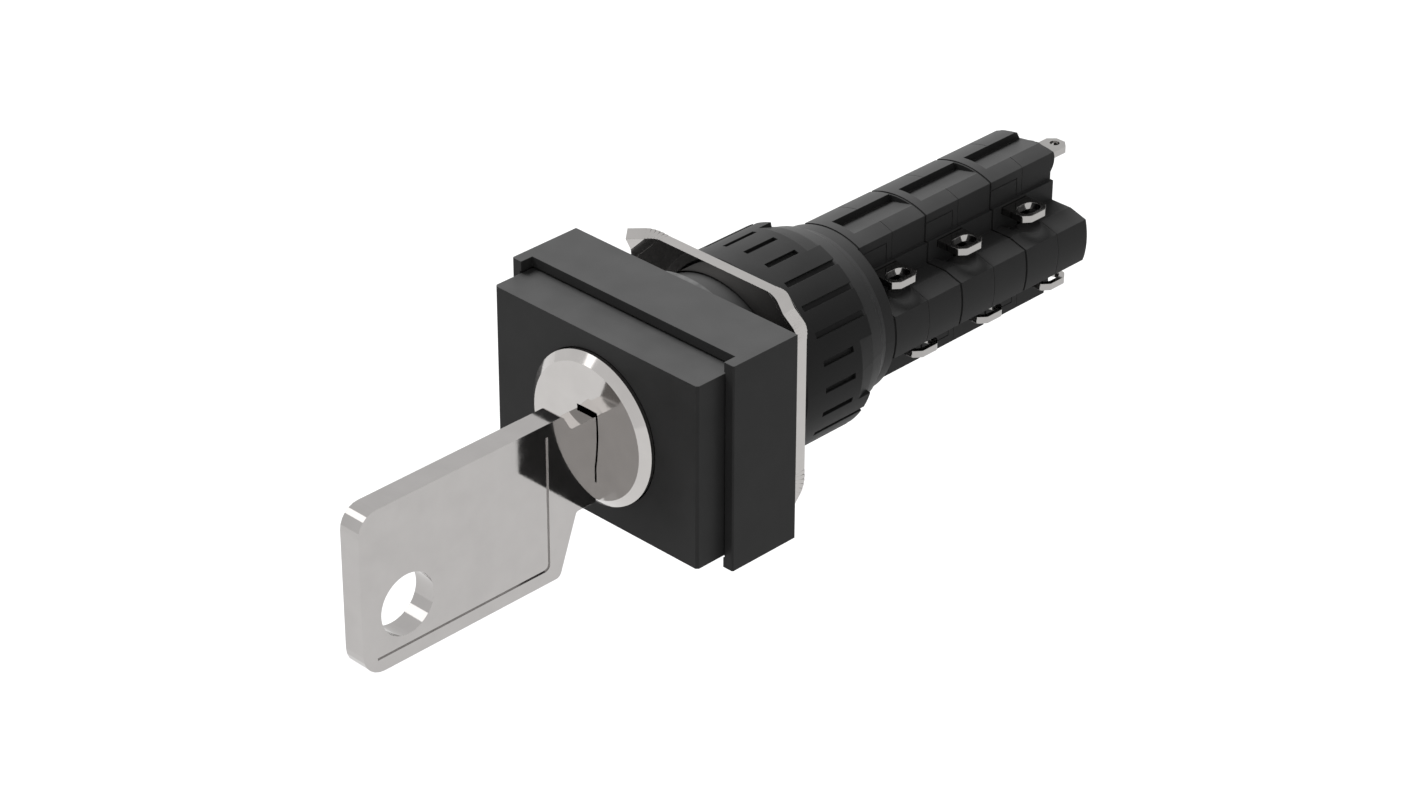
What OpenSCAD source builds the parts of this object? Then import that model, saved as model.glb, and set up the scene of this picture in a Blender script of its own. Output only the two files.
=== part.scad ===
// Key-operated selector switch for a 16 mm panel hole, in millimetres.
// The key axis runs along Y, the front faces -Y and up is +Z.
// The origin is where the axis meets the rear face of the front block.

/* [Front block] */
// Width of the front block
front_w = 24; // [22:0.5:30]
// Height of the front block
front_h = 18; // [17:0.5:26]
// Depth of the two ears of the block, from the panel forwards
ear_depth = 6.84; // [5:0.02:9]
// How far the upper and lower lips stand back from the ears
lip_setback = 1.2; // [0.4:0.1:2]
// Width of the cover plate
plate_w = 22; // [20:0.5:28]
// Height of the cover plate
plate_h = 16; // [15:0.5:24]
// Distance from the panel to the front of the cover plate
plate_front = 9.65; // [8.5:0.05:12]
// Bevel on the upright edges of the cover plate
plate_bevel = 0.2; // [0.1:0.05:1]

/* [Lock] */
// Distance from the panel to the lock face
lock_front = 10.6; // [10:0.1:13]
// Radius of the lock face
lock_r = 6.5; // [6.4:0.05:6.55]
// Width of the keyway
keyway_w = 2.2; // [1.6:0.1:3]
// Number of lock discs
discs = 6; // [4:1:6]

/* [Key] */
// Thickness of the key
key_t = 2; // [1.4:0.1:2.1]
// Length of the bow from the lock face to its far edge
bow_reach = 23.8; // [20:0.1:30]
// Height of the bow
bow_h = 14.1; // [12:0.1:18]
// Radius of the hole for the key ring
ring_hole_r = 2.6; // [1.5:0.1:3.5]

/* [Barrel and nut] */
// Radius of the barrel
barrel_r = 7.9; // [7:0.05:7.95]
// Length of the barrel behind the panel
barrel_len = 12.65; // [10:0.05:16]
// Side of the square anti-twist plate
twist_side = 18.2; // [17:0.1:20]
// Outer radius of the ring nut
nut_r = 8.8; // [8.6:0.1:10]
// Number of grip grooves around the nut
nut_grooves = 24; // [12:4:36]

/* [Contact modules] */
// Outer radius of the contact modules
module_r = 7.2; // [6.8:0.1:7.6]
// Length of one contact module
module_len = 7.88; // [7:0.02:9]
// Shift of the contact carrier over a quarter turn of the key
contact_shift = 0.6; // [0.3:0.05:0.6]

/* [Hidden] */
$fn = 96;
black = [0.07, 0.07, 0.075];
soft_black = [0.1, 0.1, 0.1];
steel = [0.72, 0.71, 0.7];
bright = [0.8, 0.79, 0.78];
copper = [0.72, 0.5, 0.33];
cream = [0.85, 0.83, 0.76];
gap = 0.05;
eps = 0.01;
pocket_floor = 3.5;
plate_gap = 0.15;
ear_bevel = 0.1;
// Boss of the block that carries the lock case, and the cover plate's hole
boss_r = 7.2;
boss_front = 8.15;
case_bore_r = 6.45;
plate_hole_r = lock_r + 0.04;
peg_r = 0.6;
peg_x = 9.2;
peg_z = 7.05;
// Lock
face_flat_r = 5.75;
face_edge = 0.6;
flange_back = 9.2;
rotor_r = 5.4;
rotor_bore_r = 4.88;
rotor_end = 6.2;
case_r = 6.4;
case_end = 5;
disc_r = 4.85;
disc_pitch = 1.8;
disc_t = 1.2;
spacer_t = 0.5;
pack_start = -8.5;
keyway_low = -4.15;
keyway_high = 1.95;
dimple_r = 3;
dimple_depth = 0.27;
clip_groove_r = 5.1;
sidebar_w = 1.6;
// Key
blade_low = -4.05;
blade_high = 1.65;
key_cut_r = 0.55;
blade_end = 3.1;
bow_top = 3.1;
bow_low = bow_top - bow_h;
bow_far = -lock_front - bow_reach;
neck_low = -5.88;
ring_y = -29.94;
ring_z = -6.26;
line_w = 0.25;
line_depth = 0.12;
// Thread
pitch = 1;
thread_start = 3.6;
thread_rings = 8;
thread_depth = 0.4;
nut_bore_r = barrel_r + 0.07;
nut_front = 4.15;
nut_tail = 10.9;
nut_end = 12.6;
pad_end = 12.3;
// Anti-twist plate
twist_front = 3.1;
twist_t = 1;
bend_start = 15 / sqrt(2);
bend_r = 1;
bend_angle = 45;
bend_strips = 5;
strip_lap = 0.15;
// Modules: first face, middle of each module, and the end of the last one
stack_start = 16.47;
modules = 3;
stack_end = 39.85;
function module_start(k) = stack_start + (k - 1) * module_len;
function module_mid(k) = module_start(k) + module_len / 2;
function module_end(k) = k == modules ? stack_end : module_start(k + 1);
seam = 0.12;
hairline = 0.03;
lobe_w = 2.97;
core_w = 3.3;
core_h = 4.2;
arm_h = 2.4;
wall = 0.9;
// Contact mechanism, measured from the middle of its module
shaft_w = 1.8;
leg_x = 2.9;
leg_t = 0.35;
leg_w = 1.4;
cam_base = 1.75;
cam_rise = contact_shift / 90;
bridge_t = 0.4;
post_t = 0.45;
spring_end = 5.92;
lug_t = 0.6;
lug_w = 2.96;
lug_z = 3.41;
lug_reach = 6;
lug_play = 0.03;
scoop_r = 2.4;
scoop_depth = 0.7;
// Middle of an upper lug (end = 0) or a lower lug (end = 1)
function lug_place(k, end) = module_mid(k) + 0.15 + (end == 0 ? -1.43 : 1.43);

// ---- Helpers ----

// Extrudes an outline drawn in X and Z from depth y0 to depth y1
module along_y(y0, y1) {
    translate([0, y1, 0]) rotate([90, 0, 0]) linear_extrude(y1 - y0) children();
}

// Turns [radius, depth] points about the key axis
module turned(points) {
    rotate([-90, 0, 0]) rotate_extrude() polygon(points);
}

// Round bar on the key axis
module bar_y(y0, y1, r) {
    translate([0, y0, 0]) rotate([-90, 0, 0]) cylinder(h = y1 - y0, r = r);
}

// Box between two corners
module between(low, high) {
    translate(low) cube(high - low);
}

// Box centred on the key axis in X and Z
module slab(w, h, y0, y1) {
    between([-w / 2, y0, -h / 2], [w / 2, y1, h / 2]);
}

// Outline in X and Y of a block from y0 to y1 with bevelled front corners
module bevel_outline(w, y0, y1, bevel) {
    half = w / 2;
    polygon([[-half, y1], [half, y1], [half, y0 + bevel], [half - bevel, y0], [bevel - half, y0],
        [-half, y0 + bevel]]);
}

// Repeats its children in the four quadrants of X and Z
module four_ways() {
    for (side = [0, 1], end = [0, 1])
        mirror([side, 0, 0]) mirror([0, 0, end]) children();
}

function unit(v) = v / norm(v);

// Outline through corners [a, b, radius], each rounded to its radius
function rounded(corners, steps = 6) = [
    for (i = [0 : len(corners) - 1])
        let (
            n = len(corners),
            here = [corners[i].x, corners[i].y],
            back = unit([corners[(i + n - 1) % n].x, corners[(i + n - 1) % n].y] - here),
            ahead = unit([corners[(i + 1) % n].x, corners[(i + 1) % n].y] - here),
            half = acos(back * ahead) / 2,
            radius = corners[i].z,
            centre = here + unit(back + ahead) * radius / sin(half),
            first = here + back * radius / tan(half) - centre,
            last = here + ahead * radius / tan(half) - centre,
            from = atan2(first.y, first.x),
            turn = ((atan2(last.y, last.x) - from + 540) % 360) - 180
        )
        for (s = [0 : radius > 0 ? steps : 0])
            centre + radius * [cos(from + turn * s / steps), sin(from + turn * s / steps)]
];

// ---- Front block ----

module bezel_housing() {
    color(black) difference() {
        union() {
            linear_extrude(front_h, center = true) bevel_outline(front_w, -ear_depth, 0, ear_bevel);
            bar_y(-boss_front, 0, boss_r);
            turned(barrel_outline());
        }
        difference() {
            slab(plate_w + 2 * plate_gap, plate_h + 2 * plate_gap, -ear_depth - eps, -pocket_floor);
            bar_y(-boss_front - eps, 0, boss_r);
        }
        for (side = [-1, 1])
            translate([0, 0, side * (front_h + plate_h) / 4])
                slab(plate_w, front_h - plate_h + eps, -ear_depth - eps, lip_setback - ear_depth);
        bar_y(-boss_front - eps, barrel_len + eps, case_bore_r);
        between([-1.1, 0.6, -barrel_r - 1], [1.1, barrel_len + eps, -7.05]);
        four_ways() translate([peg_x, -2, peg_z]) rotate([90, 0, 0]) cylinder(h = 2, r = peg_r + 0.02);
    }
}

// Barrel with thread rings cut into it
function barrel_outline() = concat(
    [[0, -eps], [barrel_r, -eps]],
    [for (i = [0 : thread_rings - 1], p = [[0, 0.15], [thread_depth, 0.4], [thread_depth, 0.6], [0, 0.85]])
        [barrel_r - p.x, thread_start + (i + p.y) * pitch]],
    [[barrel_r, barrel_len - 0.3], [barrel_r - 0.3, barrel_len], [0, barrel_len]]
);

module front_plate() {
    color(black) {
        difference() {
            linear_extrude(plate_h, center = true)
                bevel_outline(plate_w, -plate_front, -pocket_floor, plate_bevel);
            bar_y(-plate_front - eps, 0, plate_hole_r);
            bar_y(-boss_front - gap, 0, boss_r + gap);
            for (side = [-1, 1])
                translate([side * 8.95, 0, 0]) slab(1.9, 12.4, -boss_front - gap, 0);
        }
        four_ways() translate([peg_x, -2.2, peg_z]) rotate([90, 0, 0]) cylinder(h = 2, r = peg_r);
    }
}

module panel_seal() {
    color(soft_black) turned([[8.15, 0], [9, 0], [9, 0.5], [8.15, 0.5]]);
}

// ---- Lock ----

module keyway(y0, y1, play = 0) {
    between([-keyway_w / 2 - play, y0, keyway_low - play], [keyway_w / 2 + play, y1, keyway_high + play]);
}

module lock_case() {
    color(copper) difference() {
        turned([[rotor_r + gap, -flange_back + gap], [case_r, -flange_back + gap], [case_r, case_end],
            [rotor_r + gap, case_end]]);
        between([-0.9, pack_start + 0.3, 5], [0.9, 2.6, 5.8]);
    }
}

module lock_rotor() {
    dimple_ball = (dimple_r * dimple_r + dimple_depth * dimple_depth) / (2 * dimple_depth);
    color(bright) difference() {
        turned([[0, -lock_front], [face_flat_r, -lock_front], [lock_r, -lock_front + face_edge],
            [lock_r, -flange_back], [rotor_r, -flange_back], [rotor_r, 5.15], [clip_groove_r, 5.15],
            [clip_groove_r, 5.75], [rotor_r, 5.75], [rotor_r, rotor_end], [rotor_bore_r, rotor_end],
            [rotor_bore_r, pack_start - gap], [0, pack_start - gap]]);
        translate([0, dimple_depth - lock_front - dimple_ball, 0]) rotate([90, 0, 0])
            sphere(r = dimple_ball, $fn = 128);
        keyway(-lock_front - eps, pack_start);
        between([-sidebar_w / 2 - gap, pack_start + 0.4, 4], [sidebar_w / 2 + gap, 2.5, rotor_r + 0.2]);
    }
}

// One disc of the lock's pack, with its key slot and its gate for the sidebar
module pack_disc(y0, y1, play) {
    difference() {
        bar_y(y0, y1, disc_r);
        keyway(y0 - eps, y1 + eps, play);
        between([-sidebar_w / 2 - gap, y0 - eps, 4.4], [sidebar_w / 2 + gap, y1 + eps, disc_r + 1]);
    }
}

module detainer_discs() {
    color(copper) for (i = [0 : discs - 1]) {
        start = pack_start + spacer_t + i * disc_pitch;
        pack_disc(start, start + disc_t, 0);
    }
}

module disc_spacers() {
    color(steel) for (i = [0 : discs])
        pack_disc(pack_start + i * disc_pitch, pack_start + i * disc_pitch + spacer_t, 0.15);
}

module sidebar() {
    color(steel) between([-sidebar_w / 2, pack_start + 0.5, 4.5], [sidebar_w / 2, 2.4, 5.3]);
}

// Split ring in the rotor's groove, behind the lock case
module rotor_clip() {
    color(steel) difference() {
        turned([[clip_groove_r + 0.02, 5.2], [6.1, 5.2], [6.1, 5.7], [clip_groove_r + 0.02, 5.7]]);
        between([-1.2, 5, 0], [1.2, 6, 7]);
    }
}

// ---- Key ----

module key() {
    color(bright) difference() {
        rotate([90, 0, 90]) linear_extrude(key_t, center = true) polygon(key_outline());
        translate([-key_t, ring_y, ring_z]) rotate([0, 90, 0]) cylinder(h = 2 * key_t, r = ring_hole_r);
        for (side = [0, 1]) mirror([side, 0, 0]) key_line();
        for (i = [0 : discs - 1])
            translate([-key_t, pack_start + spacer_t + i * disc_pitch + disc_t / 2, 0])
                rotate([0, 90, 0]) {
                    translate([-blade_high - 0.35 + 0.12 * (i * 2 % 3), 0, 0])
                        cylinder(h = 2 * key_t, r = key_cut_r);
                    translate([-blade_low + 0.3 - 0.1 * (i % 3), 0, 0])
                        cylinder(h = 2 * key_t, r = key_cut_r);
                }
    }
}

// Side outline of the key in Y and Z, each corner with its radius
function key_outline() = rounded([
    [bow_far, bow_top, 1.8],
    [bow_far, bow_low, 2],
    [-14.51, bow_low, 0.6],
    [-12.67, neck_low, 0.3],
    [-lock_front, neck_low, 0.15],
    [-lock_front, blade_low, 0],
    [blade_end - 0.8, blade_low, 0],
    [blade_end, blade_low + 1.4, 0.3],
    [blade_end, blade_high - 1.4, 0.3],
    [blade_end - 0.8, blade_high, 0],
    [-13.13, blade_high, 0.2],
    [-13.94, bow_top, 0.5]
]);

// Fine engraved line along the lower and the lock side of the bow
module key_line() {
    line_z = -9.73;
    line_y = -15.64;
    turn_r = 0.4;
    translate([key_t / 2 - line_depth, 0, 0]) {
        between([0, -33.05, line_z - line_w / 2], [1, line_y - turn_r, line_z + line_w / 2]);
        between([0, line_y - line_w / 2, line_z + turn_r], [1, line_y + line_w / 2, 1.97]);
        translate([0, line_y - turn_r, line_z + turn_r]) rotate([90, 0, 90]) rotate(-90)
            rotate_extrude(angle = 90) translate([turn_r - line_w / 2, 0]) square([line_w, 1]);
    }
}

// ---- Anti-twist plate, ring nut and sleeve ----

module anti_twist_plate() {
    color(bright) {
        difference() {
            along_y(twist_front, twist_front + twist_t) intersection() {
                square(twist_side, center = true);
                rotate(45) square(2 * bend_start, center = true);
            }
            bar_y(0, 10, barrel_r + 0.15);
        }
        between([-0.95, twist_front, -barrel_r - 0.3], [0.95, twist_front + twist_t, -7.25]);
        for (k = [0 : 3]) rotate([0, 45 + 90 * k, 0]) bent_corner();
    }
}

// Square corner that is bent towards the panel about a line across it. The bend is made of
// short strips, each narrower than the one before, and ends in a flat triangular flap.
module bent_corner() {
    reach = twist_side / sqrt(2) - bend_start;
    strip = bend_angle / bend_strips;
    strip_arc = PI / 180 * strip * (bend_r + twist_t / 2);
    flap = reach - bend_strips * strip_arc;
    translate([bend_start, twist_front - bend_r, 0]) {
        for (i = [0 : bend_strips - 1]) rotate([0, 0, -strip * (i + 0.5)])
            bend_strip(strip / 2 + strip_lap, reach - (i + 0.5) * strip_arc);
        rotate([0, 0, -bend_angle]) translate([-eps, bend_r + twist_t, 0]) rotate([90, 0, 0])
            linear_extrude(twist_t) polygon([[0, -flap - eps], [flap + eps, 0], [0, flap + eps]]);
    }
}

// Strip of the bend, half_angle to each side, with its half width in the middle
module bend_strip(half_angle, half_w) {
    outer = bend_r + twist_t;
    tip = outer * tan(half_angle);
    root = bend_r * tan(half_angle);
    intersection() {
        linear_extrude(2 * half_w + 4, center = true)
            polygon([[-root, bend_r], [-tip, outer], [tip, outer], [root, bend_r]]);
        translate([0, outer + 1, 0]) rotate([90, 0, 0]) linear_extrude(outer + 2)
            polygon([[-1, -half_w - 1], [1, 1 - half_w], [1, half_w - 1], [-1, half_w + 1]]);
    }
}

module ring_nut() {
    groove_w = 0.5;
    groove_floor = nut_r - 0.3;
    groove_start = 6.7;
    groove_end = 10.1;
    pad_angle = 55;
    color(soft_black) difference() {
        union() {
            turned([[nut_bore_r, nut_front], [8.3, nut_front], [nut_r, nut_front + 0.55], [nut_r, nut_tail],
                [8.3, nut_end], [nut_bore_r, nut_end]]);
            for (k = [0 : 3]) rotate([-90, 0, 0]) rotate([0, 0, 90 * k + 45 - pad_angle / 2])
                rotate_extrude(angle = pad_angle)
                    polygon([[nut_bore_r, nut_tail - 0.5], [nut_r, nut_tail - 0.5], [nut_r, pad_end],
                        [nut_bore_r, pad_end]]);
        }
        for (i = [0 : nut_grooves - 1]) {
            angle = 360 / nut_grooves * i;
            through = abs(angle % 90 - 45) < 20;
            rotate([0, angle, 0])
                between([groove_floor, groove_start, -groove_w / 2],
                    [nut_r + 1, through ? pad_end + eps : groove_end, groove_w / 2]);
        }
    }
}

module rear_sleeve() {
    color(black) difference() {
        turned([[0, 9], [6.4, 9], [6.4, barrel_len], [8.2, barrel_len], [8.2, 12.75],
            [7.8, 14.2], [7.4, 14.8], [module_r, 15.3], [module_r, stack_start - seam],
            [module_r - seam, stack_start], [0, stack_start]]);
        bar_y(8, 15.6, 5.2);
        bar_y(15, 17, 1.4);
    }
}

// ---- Detent and shaft ----

module detent_wheel() {
    color(cream) difference() {
        bar_y(13, 14.4, 3.6);
        for (turn = [0, -90]) rotate([0, turn, 0])
            translate([0, 12, 4.1]) rotate([-90, 0, 0]) cylinder(h = 4, r = 0.9);
        slab(shaft_w + 0.04, shaft_w + 0.04, 12, 15);
    }
}

// Leaf spring with a nose that drops into the wheel's notches
module detent_spring() {
    strip = [[-3.3, 3.65], [-2, 4.1], [-0.75, 4.2], [0, 3.28], [0.75, 4.2], [2, 4.1], [3.3, 3.65]];
    leaf_t = 0.2;
    color(steel) along_y(13.15, 14.25)
        polygon(concat(strip, [for (i = [len(strip) - 1 : -1 : 0]) strip[i] + [0, leaf_t]]));
}

module drive_shaft() {
    color(steel) {
        bar_y(4.4, 6, disc_r);
        bar_y(6, 12.9, 1.5);
        slab(shaft_w, shaft_w, 12.9, 39);
    }
}

// ---- Contact modules ----

// Cross section of a module, drawn in X and Z, drawn in by an inset
module module_section(inset = 0) {
    intersection() {
        circle(r = module_r - inset);
        union() {
            square([2 * (lobe_w - inset), 20], center = true);
            square(2 * [core_w - inset, core_h - inset], center = true);
            for (side = [0, 1]) mirror([side, 0])
                polygon([[0, arm_h - inset], [5.2, arm_h - inset], [7.5, 1.71 - inset], [7.5, inset - 1.71],
                    [5.2, inset - arm_h], [0, inset - arm_h]]);
        }
    }
}

// Solid half shell from y0 to y1, drawn in at each end by its seam
module shell_block(y0, y1, first, last) {
    along_y(y0 + first, y1 - last) module_section();
    along_y(y0, y0 + first) module_section(first);
    along_y(y1 - last, y1) module_section(last);
}

// Window over the latch in the upper and lower lobe: one steep wall and a sloping floor
module latch_window(y0, y1) {
    for (turn = [0, 180]) rotate([0, turn, 0]) along_y(y0, y1)
        polygon([[-0.87, 6.45], [1.6, 7.02], [1.6, 8], [-0.87, 8]]);
}

// Fine groove around the latch tongue on each side of the upper and lower lobe
module latch_outline(k) {
    tongue_len = 3.26;
    tongue_top = 5.74;
    groove = 0.08;
    four_ways() {
        between([lobe_w - groove, module_start(k) - eps, tongue_top],
            [lobe_w + 1, module_start(k) + tongue_len, tongue_top + groove]);
        between([lobe_w - groove, module_start(k) + tongue_len, core_h - eps],
            [lobe_w + 1, module_start(k) + tongue_len + groove, tongue_top + groove]);
    }
}

// Everything that is hollow inside module k
module module_hollow(k) {
    mid = module_mid(k);
    inner = [module_start(k) + wall, module_end(k) - wall];
    slab(12.2, 2.5, inner.x, inner.y);
    slab(5.5, 5.1, inner.x, inner.y);
    for (side = [-1, 1]) translate([0, 0, side * 4.5]) slab(4, 2.4, inner.x, inner.y);
    bar_y(module_start(k) - eps, module_end(k) + eps, 1.4);
    latch_window(module_start(k) + 0.98, module_end(k) + eps);
    latch_outline(k);
    for (side = [0, 1], end = [0, 1]) mirror([side, 0, 0]) mirror([0, 0, end]) {
        lug_mid = lug_place(k, end);
        between([leg_x - lug_play, lug_mid - lug_w / 2 - lug_play, lug_z - lug_play],
            [core_w + 0.2, lug_mid + lug_w / 2 + lug_play, lug_z + lug_t + lug_play]);
        between([leg_x - lug_play, mid - leg_w / 2 - lug_play, 1],
            [core_w + 0.2, mid + leg_w / 2 + lug_play, lug_z]);
        translate([core_w, lug_mid, arm_h + scoop_r - scoop_depth]) scoop();
    }
}

// Rounded hollow in the side lobe under a lug, which leaves room to solder
module scoop() {
    rotate([0, 90, 0]) cylinder(h = 5, r1 = scoop_r, r2 = scoop_r - 0.9);
}

module contact_base(k) {
    color(black) difference() {
        shell_block(module_start(k), module_mid(k), seam, hairline);
        module_hollow(k);
    }
}

module contact_cover(k) {
    color(black) difference() {
        shell_block(module_mid(k), module_end(k), hairline, seam);
        module_hollow(k);
        if (k == modules) rear_slot();
    }
}

// Cam outline: a straight rise over the working quarter turn, then an even way back.
// Each point is the touching point of a flat follower at distance lift() from the axis.
function lift(a) = a <= 95 ? cam_base + cam_rise * a
    : let (span = 260, s = (a - 95) / span, top = cam_base + cam_rise * 95, low = cam_base - cam_rise * 5)
        (2 * s * s * s - 3 * s * s + 1) * top + (3 * s * s - 2 * s * s * s) * low
        + (s * s * s - 2 * s * s + s + s * s * s - s * s) * cam_rise * span;
function lift_slope(a) = (lift(a + 0.5) - lift(a - 0.5)) * 180 / PI;
function cam_outline() = [for (a = [0 : 6 : 354])
    lift(a) * [cos(a), sin(a)] + lift_slope(a) * [-sin(a), cos(a)]];

module contact_cam(k) {
    mid = module_mid(k);
    color(cream) difference() {
        along_y(mid - 1, mid + 1) polygon(cam_outline());
        slab(shaft_w + 0.04, shaft_w + 0.04, mid - 2, mid + 2);
    }
}

// Carrier that the cam pushes to +X: a slotted plate, a follower and two posts
module plunger(k) {
    mid = module_mid(k);
    follower_x = cam_base + 0.04;
    right_post = leg_x + leg_t + gap + bridge_t;
    left_post = -leg_x - leg_t - gap - contact_shift - bridge_t;
    color(cream) difference() {
        union() {
            between([left_post - post_t, mid + 1.15, -1.1], [right_post + post_t, mid + 1.85, 1.1]);
            between([-2.4, mid + 1.15, -1.8], [1.9, mid + 1.85, 1.8]);
            between([follower_x, mid - 0.9, -0.8], [follower_x + 0.4, mid + 1.2, 0.8]);
            between([right_post, mid - 0.6, -0.5], [right_post + post_t, mid + 1.2, 0.5]);
            between([left_post - post_t, mid - 0.6, -0.5], [left_post, mid + 1.2, 0.5]);
        }
        between([-1.32 - contact_shift, mid + 1, -1.32], [1.32, mid + 2, 1.32]);
    }
}

module contact_bridges(k) {
    mid = module_mid(k);
    closed = leg_x + leg_t + gap;
    color(copper) for (x = [closed, -closed - contact_shift - bridge_t])
        between([x, mid - 0.8, -1.15], [x + bridge_t, mid + 0.8, 1.15]);
}

// Coil spring along X between the right post and the end of the hollow
module return_spring(k) {
    wire_r = 0.13;
    coil_r = 0.68;
    turns = 4;
    from_x = leg_x + leg_t + gap + bridge_t + post_t + wire_r + eps;
    length = spring_end - from_x;
    sides = 6;
    steps = 14 * turns;
    centre = [from_x, module_mid(k), 0];
    points = [for (i = [0 : steps], j = [0 : sides - 1])
        let (a = 360 * turns * i / steps, b = 360 * j / sides, r = coil_r + wire_r * cos(b))
            centre + [length * i / steps + wire_r * sin(b), r * cos(a), r * sin(a)]];
    skin = [for (i = [0 : steps - 1], j = [0 : sides - 1])
        let (n = (j + 1) % sides) [i * sides + j, i * sides + n, (i + 1) * sides + n, (i + 1) * sides + j]];
    ends = [[for (j = [sides - 1 : -1 : 0]) j], [for (j = [0 : sides - 1]) steps * sides + j]];
    color(steel) polyhedron(points, concat(skin, ends));
}

// Solder lug with chamfered corners and an oblong eye; it ends at x = lug_reach
module lug() {
    chamfer = 0.62;
    corner_r = 0.3;
    half = lug_w / 2;
    eye_r = 0.72;
    eye_shift = 0.38;
    eye_x = lug_reach - 1.12;
    outline = rounded([[leg_x, -half, 0], [lug_reach - chamfer + 0.1, -half, corner_r],
        [lug_reach, chamfer - half, corner_r], [lug_reach, half - chamfer, corner_r],
        [lug_reach - chamfer + 0.1, half, corner_r], [leg_x, half, 0]], 4);
    difference() {
        linear_extrude(lug_t) polygon(outline);
        for (side = [-1, 1]) translate([eye_x, side * eye_shift, -1]) cylinder(h = 3, r = eye_r);
        between([eye_x - eye_r, -eye_shift, -1], [eye_x + eye_r, eye_shift, 2]);
    }
}

// Upper and lower fixed contact of one side
module terminals(k) {
    for (end = [0, 1]) mirror([0, 0, end]) {
        translate([0, lug_place(k, end), lug_z]) lug();
        between([leg_x, module_mid(k) - leg_w / 2, 0.4],
            [leg_x + leg_t, module_mid(k) + leg_w / 2, lug_z + eps]);
    }
}

module right_terminals(k) {
    color(bright) terminals(k);
}

module left_terminals(k) {
    color(bright) mirror([1, 0, 0]) terminals(k);
}

// ---- Rear end ----

module rear_slot() {
    between([-1.15, 38.2, 4.35], [1.15, 42, 5.05]);
}

module end_cap() {
    bulge_r = 1.48;
    bulge_z = 5.8;
    cap_t = 0.24;
    color(black) difference() {
        union() {
            along_y(stack_end, stack_end + cap_t / 2) module_section(seam);
            along_y(stack_end + cap_t / 2, stack_end + cap_t) module_section(seam + 0.2);
            for (end = [0, 1]) mirror([0, 0, end]) intersection() {
                translate([0, stack_end + 0.55 - bulge_r, bulge_z]) rotate([0, 90, 0])
                    cylinder(h = 2 * lobe_w, r = bulge_r, center = true);
                along_y(stack_end, stack_end + 1) module_section(seam);
            }
        }
        rear_slot();
        latch_window(stack_end - 1, stack_end + 2);
    }
}

module rear_terminal() {
    half = 1.05;
    chamfer = 0.6;
    rear = 44.6;
    eye_r = 0.42;
    color(bright) translate([0, 0, 4.4]) difference() {
        linear_extrude(lug_t) polygon([[-half, 38.3], [half, 38.3], [half, rear - chamfer],
            [half - chamfer, rear], [chamfer - half, rear], [-half, rear - chamfer]]);
        translate([0, rear - 0.8, -1]) cylinder(h = 3, r = eye_r);
    }
}

bezel_housing();
front_plate();
panel_seal();
lock_case();
lock_rotor();
detainer_discs();
disc_spacers();
sidebar();
rotor_clip();
key();
anti_twist_plate();
ring_nut();
rear_sleeve();
detent_wheel();
detent_spring();
drive_shaft();
end_cap();
rear_terminal();
contact_base(1);  // contact_base_1
contact_base(2);  // contact_base_2
contact_base(3);  // contact_base_3
contact_cover(1);  // contact_cover_1
contact_cover(2);  // contact_cover_2
contact_cover(3);  // contact_cover_3
contact_cam(1);  // contact_cam_1
contact_cam(2);  // contact_cam_2
contact_cam(3);  // contact_cam_3
plunger(1);  // plunger_1
plunger(2);  // plunger_2
plunger(3);  // plunger_3
contact_bridges(1);  // contact_bridges_1
contact_bridges(2);  // contact_bridges_2
contact_bridges(3);  // contact_bridges_3
return_spring(1);  // return_spring_1
return_spring(2);  // return_spring_2
return_spring(3);  // return_spring_3
right_terminals(1);  // right_terminals_1
right_terminals(2);  // right_terminals_2
right_terminals(3);  // right_terminals_3
left_terminals(1);  // left_terminals_1
left_terminals(2);  // left_terminals_2
left_terminals(3);  // left_terminals_3
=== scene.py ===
import math

import bmesh
import bpy
from mathutils import Matrix, Vector


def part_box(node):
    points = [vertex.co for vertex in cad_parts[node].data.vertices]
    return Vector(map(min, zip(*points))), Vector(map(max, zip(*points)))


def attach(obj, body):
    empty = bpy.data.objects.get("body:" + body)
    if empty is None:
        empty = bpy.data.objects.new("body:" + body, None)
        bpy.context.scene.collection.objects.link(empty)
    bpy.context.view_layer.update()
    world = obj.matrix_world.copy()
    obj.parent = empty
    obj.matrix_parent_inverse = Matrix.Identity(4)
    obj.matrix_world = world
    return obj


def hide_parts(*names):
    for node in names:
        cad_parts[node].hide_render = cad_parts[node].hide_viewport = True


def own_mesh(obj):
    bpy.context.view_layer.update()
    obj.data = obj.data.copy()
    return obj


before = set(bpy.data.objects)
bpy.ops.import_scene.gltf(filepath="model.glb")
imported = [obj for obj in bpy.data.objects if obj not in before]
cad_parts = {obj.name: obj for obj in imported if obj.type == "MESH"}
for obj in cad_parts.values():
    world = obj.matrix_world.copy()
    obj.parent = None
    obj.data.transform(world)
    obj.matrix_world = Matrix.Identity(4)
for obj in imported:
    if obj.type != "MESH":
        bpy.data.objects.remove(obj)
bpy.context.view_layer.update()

MM = 0.001

# ---- Camera: turn, rise and roll in degrees, places in metres, lens in millimetres ----

CAMERA_TURN = 44.57
CAMERA_RISE = 30.50
CAMERA_ROLL = 0.187
CAMERA_DISTANCE = 0.3223
CAMERA_RIGHT = 0.00199
CAMERA_UP = -0.001363
CAMERA_LENS = 105.1
CAMERA_SENSOR = 36.0
CAMERA_CLIP_START = 0.01

# ---- Light and stage, in metres and degrees ----

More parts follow.
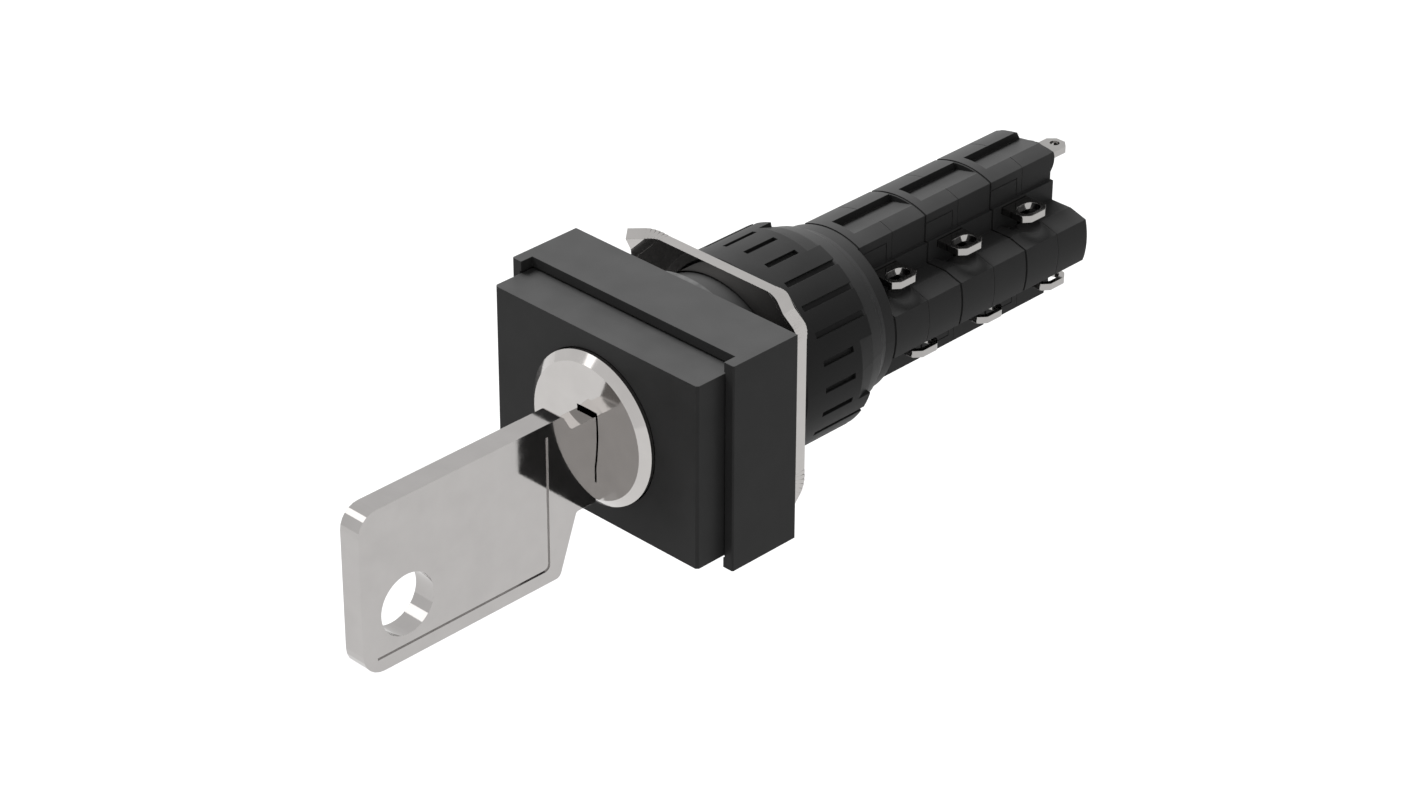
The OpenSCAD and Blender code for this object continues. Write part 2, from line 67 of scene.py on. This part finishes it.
WORLD_STRENGTH = 1.0
OVERHEAD_STRENGTH = 21.0
OVERHEAD_SPREAD = 36
OVERHEAD_DIRECTION = (-0.65, 0.1, 0.75)
SOFTBOX_DIRECTION = (-0.6, -0.5, 0.62)
SOFTBOX_DISTANCE = 0.6
SOFTBOX_SIZE = 0.24
SOFTBOX_RADIANCE = 1.6
FLOOR_HALF = 6.0
FLOOR_LEVEL = -0.16
FLOOR_DARK = (0.19, 0.19, 0.19, 1)
FLOOR_LIGHT = (0.2, 0.2, 0.2, 1)

# ---- Materials: linear colours, and the band that holds most of a noise texture's values ----

BLACK = (0.017, 0.017, 0.017)
MODULE_BLACK = (0.0145, 0.0145, 0.0145)
NUT_BLACK = (0.01, 0.01, 0.01)
SEAL_BLACK = (0.02, 0.02, 0.02)
ACETAL = (0.75, 0.72, 0.63)
LOCK_METAL = (0.47, 0.454, 0.442)
KEY_METAL = (0.4, 0.387, 0.379)
TWIST_METAL = (0.42, 0.406, 0.395)
LUG_METAL = (0.35, 0.341, 0.332)
SPRING_METAL = (0.5, 0.5, 0.5)
BRASS = (0.62, 0.48, 0.25)
NOISE_LOW = 0.3
NOISE_HIGH = 0.7
BEVEL_SAMPLES = 4

# Sockets of a colour Mix node, which has one set of sockets for each data type
MIX_FACTOR, MIX_A, MIX_B, MIX_RESULT = 0, 6, 7, 2

# ---- Return springs ----

SPRING_WIRE = 0.13 * MM
SPRING_TURNS = 4
STEPS_PER_TURN = 36
WIRE_SIDES = 12

MODULES = (1, 2, 3)


def add_object(name, data):
    made = bpy.data.objects.new(name, data)
    bpy.context.scene.collection.objects.link(made)
    return made


# ---- Node helpers ----


class Tree:
    """A material's node tree, with a short way to add nodes and links."""

    def __init__(self, name):
        self.material = bpy.data.materials.new(name)
        self.material.use_nodes = True
        self.nodes = self.material.node_tree.nodes
        self.links = self.material.node_tree.links
        self.shader = self.nodes["Principled BSDF"]
        coordinates = self.nodes.new("ShaderNodeTexCoord")
        scale = self.nodes.new("ShaderNodeMapping")
        scale.inputs["Scale"].default_value = (1 / MM, 1 / MM, 1 / MM)
        self.links.new(coordinates.outputs["Object"], scale.inputs["Vector"])
        self.place = scale.outputs["Vector"]

    def link(self, value, socket):
        """Links an output to a socket, or sets the socket to a plain value."""
        if isinstance(value, bpy.types.NodeSocket):
            self.links.new(value, socket)
        else:
            socket.default_value = value

    def add(self, kind, output=0, settings=None, **inputs):
        """Adds a node; input names have spaces written as underscores, or are _ and a number."""
        node = self.nodes.new(kind)
        for key, value in (settings or {}).items():
            setattr(node, key, value)
        for key, value in inputs.items():
            self.link(value, node.inputs[int(key[1:]) if key[0] == "_" else key.replace("_", " ")])
        return node.outputs[output]

    def shade(self, **inputs):
        """Sets or links inputs of the shader itself."""
        for key, value in inputs.items():
            self.link(value, self.shader.inputs[key.replace("_", " ")])

    def stretched(self, x, y, z):
        """Coordinates in millimetres, stretched along one axis for grain and scratches."""
        return self.add("ShaderNodeMapping", Vector=self.place, Scale=(x, y, z))

    def noise(self, scale, detail=3.0, where=None, roughness=0.5):
        return self.add("ShaderNodeTexNoise", Vector=where or self.place, Scale=scale, Detail=detail,
                        Roughness=roughness)

    def math(self, operation, a, b):
        return self.add("ShaderNodeMath", settings={"operation": operation}, _0=a, _1=b)

    def remap(self, value, to_low=0.0, to_high=1.0, low=NOISE_LOW, high=NOISE_HIGH):
        return self.add("ShaderNodeMapRange", Value=value, From_Min=low, From_Max=high,
                        To_Min=to_low, To_Max=to_high)

    def mix_colour(self, factor, a, b):
        node = self.nodes.new("ShaderNodeMix")
        node.data_type = "RGBA"
        self.link(factor, node.inputs[MIX_FACTOR])
        self.link(a, node.inputs[MIX_A])
        self.link(b, node.inputs[MIX_B])
        return node.outputs[MIX_RESULT]

    def rounded(self, radius):
        """The surface normal with edges rounded to a radius in millimetres."""
        return self.add("ShaderNodeBevel", settings={"samples": BEVEL_SAMPLES}, Radius=radius * MM)

    def edges(self, radius, gain):
        """1 along worn edges and 0 on flats, from how far a rounded normal leans from the true one."""
        true = self.nodes.new("ShaderNodeNewGeometry").outputs["Normal"]
        lean = self.add("ShaderNodeVectorMath", "Value", {"operation": "DOT_PRODUCT"},
                        _0=self.rounded(radius), _1=true)
        worn = self.math("MULTIPLY", self.math("SUBTRACT", 1.0, lean), gain)
        broken = self.remap(self.noise(2.2), 0.35, 1.0, low=0.35)
        return self.add("ShaderNodeClamp", Value=self.math("MULTIPLY", worn, broken))

    def soft_normal(self, radius, height, distance, strength):
        """Rounded edges with a fine surface relief on top."""
        return self.add("ShaderNodeBump", Height=height, Distance=distance * MM, Strength=strength,
                        Normal=self.rounded(radius))


def tinted(colour, gain, lift=0.0):
    return [min(1.0, c * gain + lift) for c in colour] + [1.0]


# ---- Materials ----


def moulded_plastic(name, colour, roughness, ior=1.15, grain=0.3, edge=0.06):
    """Moulded thermoplastic: fine spark-eroded grain, cloudy gloss and slightly rubbed edges."""
    tree = Tree(name)
    cloud = tree.noise(0.35, 4.0)
    speckle = tree.noise(14.0, 2.0)
    body = tree.mix_colour(tree.remap(cloud), tinted(colour, 0.92), tinted(colour, 1.08))
    rubbed = tinted(colour, 2.2, 0.01)
    gloss = tree.math("ADD", tree.remap(cloud, -0.02, 0.02), tree.remap(speckle, -0.02, 0.02))
    tree.shade(Base_Color=tree.mix_colour(tree.edges(edge, 1.4), body, rubbed),
               Roughness=tree.math("ADD", gloss, roughness), IOR=ior,
               Normal=tree.soft_normal(edge, speckle, 0.004, grain))
    return tree.material


def plated_metal(name, colour, roughness, direction=(1, 1, 1), scratch=0.06, edge=0.03):
    """Bright plated or polished metal: near-mirror, with faint polishing lines and a clouded gloss."""
    tree = Tree(name)
    cloud = tree.noise(0.5, 4.0)
    lines = tree.noise(9.0, 4.0, tree.stretched(*direction), 0.65)
    polish = tree.remap(lines, roughness * 0.7, roughness * 1.6, 0.35, 0.75)
    gloss = tree.math("ADD", polish, tree.math("MULTIPLY", tree.edges(edge, 0.5), 0.15))
    haze = tree.remap(cloud, 0.0, roughness, 0.4, 0.8)
    tree.shade(Base_Color=tree.mix_colour(tree.remap(cloud), tinted(colour, 0.97), tinted(colour, 1.03)),
               Metallic=1.0, Roughness=tree.math("ADD", gloss, haze),
               Normal=tree.soft_normal(edge, lines, 0.0012, scratch))
    return tree.material


def moulded_rubber(name, colour):
    """Matt gasket rubber with a patchy bloom."""
    tree = Tree(name)
    bloom = tree.remap(tree.noise(1.2, 5.0), low=0.35, high=0.75)
    pores = tree.noise(20.0, 2.0)
    tree.shade(Base_Color=tree.mix_colour(bloom, tinted(colour, 0.8), tinted(colour, 1.8)),
               Roughness=tree.remap(pores, 0.65, 0.9), Normal=tree.soft_normal(0.08, pores, 0.006, 0.6))
    return tree.material


looks = {
    "housing": moulded_plastic("housing_black", BLACK, 0.42),
    "plate": moulded_plastic("cover_plate_black", BLACK, 0.38),
    "nut": moulded_plastic("nut_black", NUT_BLACK, 0.5),
    "modules": moulded_plastic("module_black", MODULE_BLACK, 0.45),
    "acetal": moulded_plastic("natural_acetal", ACETAL, 0.4, ior=1.45),
    "seal": moulded_rubber("seal_rubber", SEAL_BLACK),
    "lock": plated_metal("lock_face_metal", LOCK_METAL, 0.07, direction=(1, 1, 0.15)),
    "key": plated_metal("key_metal", KEY_METAL, 0.05, direction=(1, 0.12, 1)),
    "twist": plated_metal("plate_metal", TWIST_METAL, 0.04, direction=(1, 1, 0.15)),
    "lugs": plated_metal("lug_metal", LUG_METAL, 0.06),
    "spring": plated_metal("spring_metal", SPRING_METAL, 0.18, scratch=0.2),
    "brass": plated_metal("lock_brass", BRASS, 0.2, scratch=0.2),
}

look_of = {
    "bezel_housing": "housing", "front_plate": "plate", "panel_seal": "seal", "lock_case": "brass",
    "lock_rotor": "lock", "detainer_discs": "brass", "disc_spacers": "spring", "sidebar": "spring",
    "rotor_clip": "spring", "key": "key", "anti_twist_plate": "twist", "ring_nut": "nut",
    "rear_sleeve": "modules", "detent_wheel": "acetal", "detent_spring": "spring",
    "drive_shaft": "spring", "end_cap": "modules", "rear_terminal": "lugs",
}
module_look_of = {
    "contact_base": "modules", "contact_cover": "modules", "contact_cam": "acetal", "plunger": "acetal",
    "contact_bridges": "lugs", "return_spring": "spring", "right_terminals": "lugs",
    "left_terminals": "lugs",
}
for part, look in module_look_of.items():
    for k in MODULES:
        look_of[f"{part}_{k}"] = look
for node, look in look_of.items():
    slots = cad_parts[node].data.materials
    for i in range(len(slots)):
        slots[i] = looks[look]

# ---- Return springs ----


def coil_mesh(name, start, end, centre, radius):
    """A round wire wound along x from start to end, closed at both ends."""
    build = bmesh.new()
    steps = SPRING_TURNS * STEPS_PER_TURN
    rings = []
    for i in range(steps + 1):
        angle = 2 * math.pi * i / STEPS_PER_TURN
        ring = []
        for j in range(WIRE_SIDES):
            around = 2 * math.pi * j / WIRE_SIDES
            reach = radius + SPRING_WIRE * math.cos(around)
            x = start + (end - start) * i / steps + SPRING_WIRE * math.sin(around)
            place = (x, centre.y + reach * math.cos(angle), centre.z + reach * math.sin(angle))
            ring.append(build.verts.new(place))
        rings.append(ring)
    for near, far in zip(rings, rings[1:]):
        for j in range(WIRE_SIDES):
            following = (j + 1) % WIRE_SIDES
            build.faces.new((near[j], near[following], far[following], far[j])).smooth = True
    build.faces.new(rings[0])
    build.faces.new(rings[-1])
    bmesh.ops.recalc_face_normals(build, faces=build.faces)
    mesh = bpy.data.meshes.new(name)
    build.to_mesh(mesh)
    build.free()
    return mesh


def add_return_spring(k):
    """Round-wire coil in the place of the CAD's coarse one."""
    low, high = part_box(f"return_spring_{k}")
    centre = (low + high) / 2
    radius = (high.y - low.y) / 2 - SPRING_WIRE
    mesh = coil_mesh(f"coil_{k}", low.x + SPRING_WIRE, high.x - SPRING_WIRE, centre, radius)
    mesh.materials.append(looks["spring"])
    coil = add_object(f"coil_{k}", mesh)
    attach(coil, "housing")
    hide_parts(f"return_spring_{k}")
    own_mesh(coil)


for k in MODULES:
    add_return_spring(k)

# ---- Stage, light and camera ----


def add_floor():
    """A pale plain floor some way under the switch, which its panel would hold."""
    mesh = bpy.data.meshes.new("floor")
    corners = [(x * FLOOR_HALF, y * FLOOR_HALF, FLOOR_LEVEL) for x, y in ((-1, -1), (1, -1), (1, 1), (-1, 1))]
    mesh.from_pydata(corners, [], [(0, 1, 2, 3)])
    tree = Tree("pale_floor")
    tree.shade(Base_Color=tree.mix_colour(tree.noise(0.004), FLOOR_DARK, FLOOR_LIGHT), Roughness=0.9,
               Specular_IOR_Level=0.1)
    mesh.materials.append(tree.material)
    floor = add_object("floor", mesh)


def add_overhead_light():
    """One wide soft light from above, kept out of the mirror-bright metal as a studio would."""
    light = bpy.data.lights.new("overhead_scrim", "SUN")
    light.energy = OVERHEAD_STRENGTH
    light.angle = math.radians(OVERHEAD_SPREAD)
    lamp = add_object("overhead_scrim", light)
    lamp.visible_glossy = False
    lamp.rotation_euler = Vector(OVERHEAD_DIRECTION).to_track_quat("Z", "Y").to_euler()


def add_softbox():
    """A square softbox that shows as a soft highlight in rounded metal edges."""
    light = bpy.data.lights.new("softbox", "AREA")
    light.size = SOFTBOX_SIZE
    light.energy = SOFTBOX_RADIANCE * math.pi * SOFTBOX_SIZE * SOFTBOX_SIZE
    away = Vector(SOFTBOX_DIRECTION).normalized()
    lamp = add_object("softbox", light)
    lamp.location = away * SOFTBOX_DISTANCE
    lamp.rotation_euler = away.to_track_quat("Z", "Y").to_euler()


def add_world():
    world = bpy.data.worlds.new("studio")
    bpy.context.scene.world = world
    world.use_nodes = True
    back = world.node_tree.nodes["Background"]
    back.inputs["Color"].default_value = (1, 1, 1, 1)
    back.inputs["Strength"].default_value = WORLD_STRENGTH


def add_camera():
    turn, rise, roll = (math.radians(a) for a in (CAMERA_TURN, CAMERA_RISE, CAMERA_ROLL))
    back = Vector((math.sin(turn) * math.cos(rise), -math.cos(turn) * math.cos(rise), math.sin(rise)))
    level = Vector((0, 0, 1)).cross(back).normalized()
    above = back.cross(level)
    right = level * math.cos(roll) + above * math.sin(roll)
    up = above * math.cos(roll) - level * math.sin(roll)
    data = bpy.data.cameras.new("camera")
    data.lens = CAMERA_LENS
    data.sensor_width = CAMERA_SENSOR
    data.clip_start = CAMERA_CLIP_START
    camera = add_object("camera", data)
    place = right * CAMERA_RIGHT + up * CAMERA_UP + back * CAMERA_DISTANCE
    camera.matrix_world = Matrix.Translation(place) @ Matrix((right, up, back)).transposed().to_4x4()
    bpy.context.scene.camera = camera


add_floor()
add_world()
add_overhead_light()
add_softbox()
add_camera()
bpy.context.scene.view_settings.view_transform = "Standard"
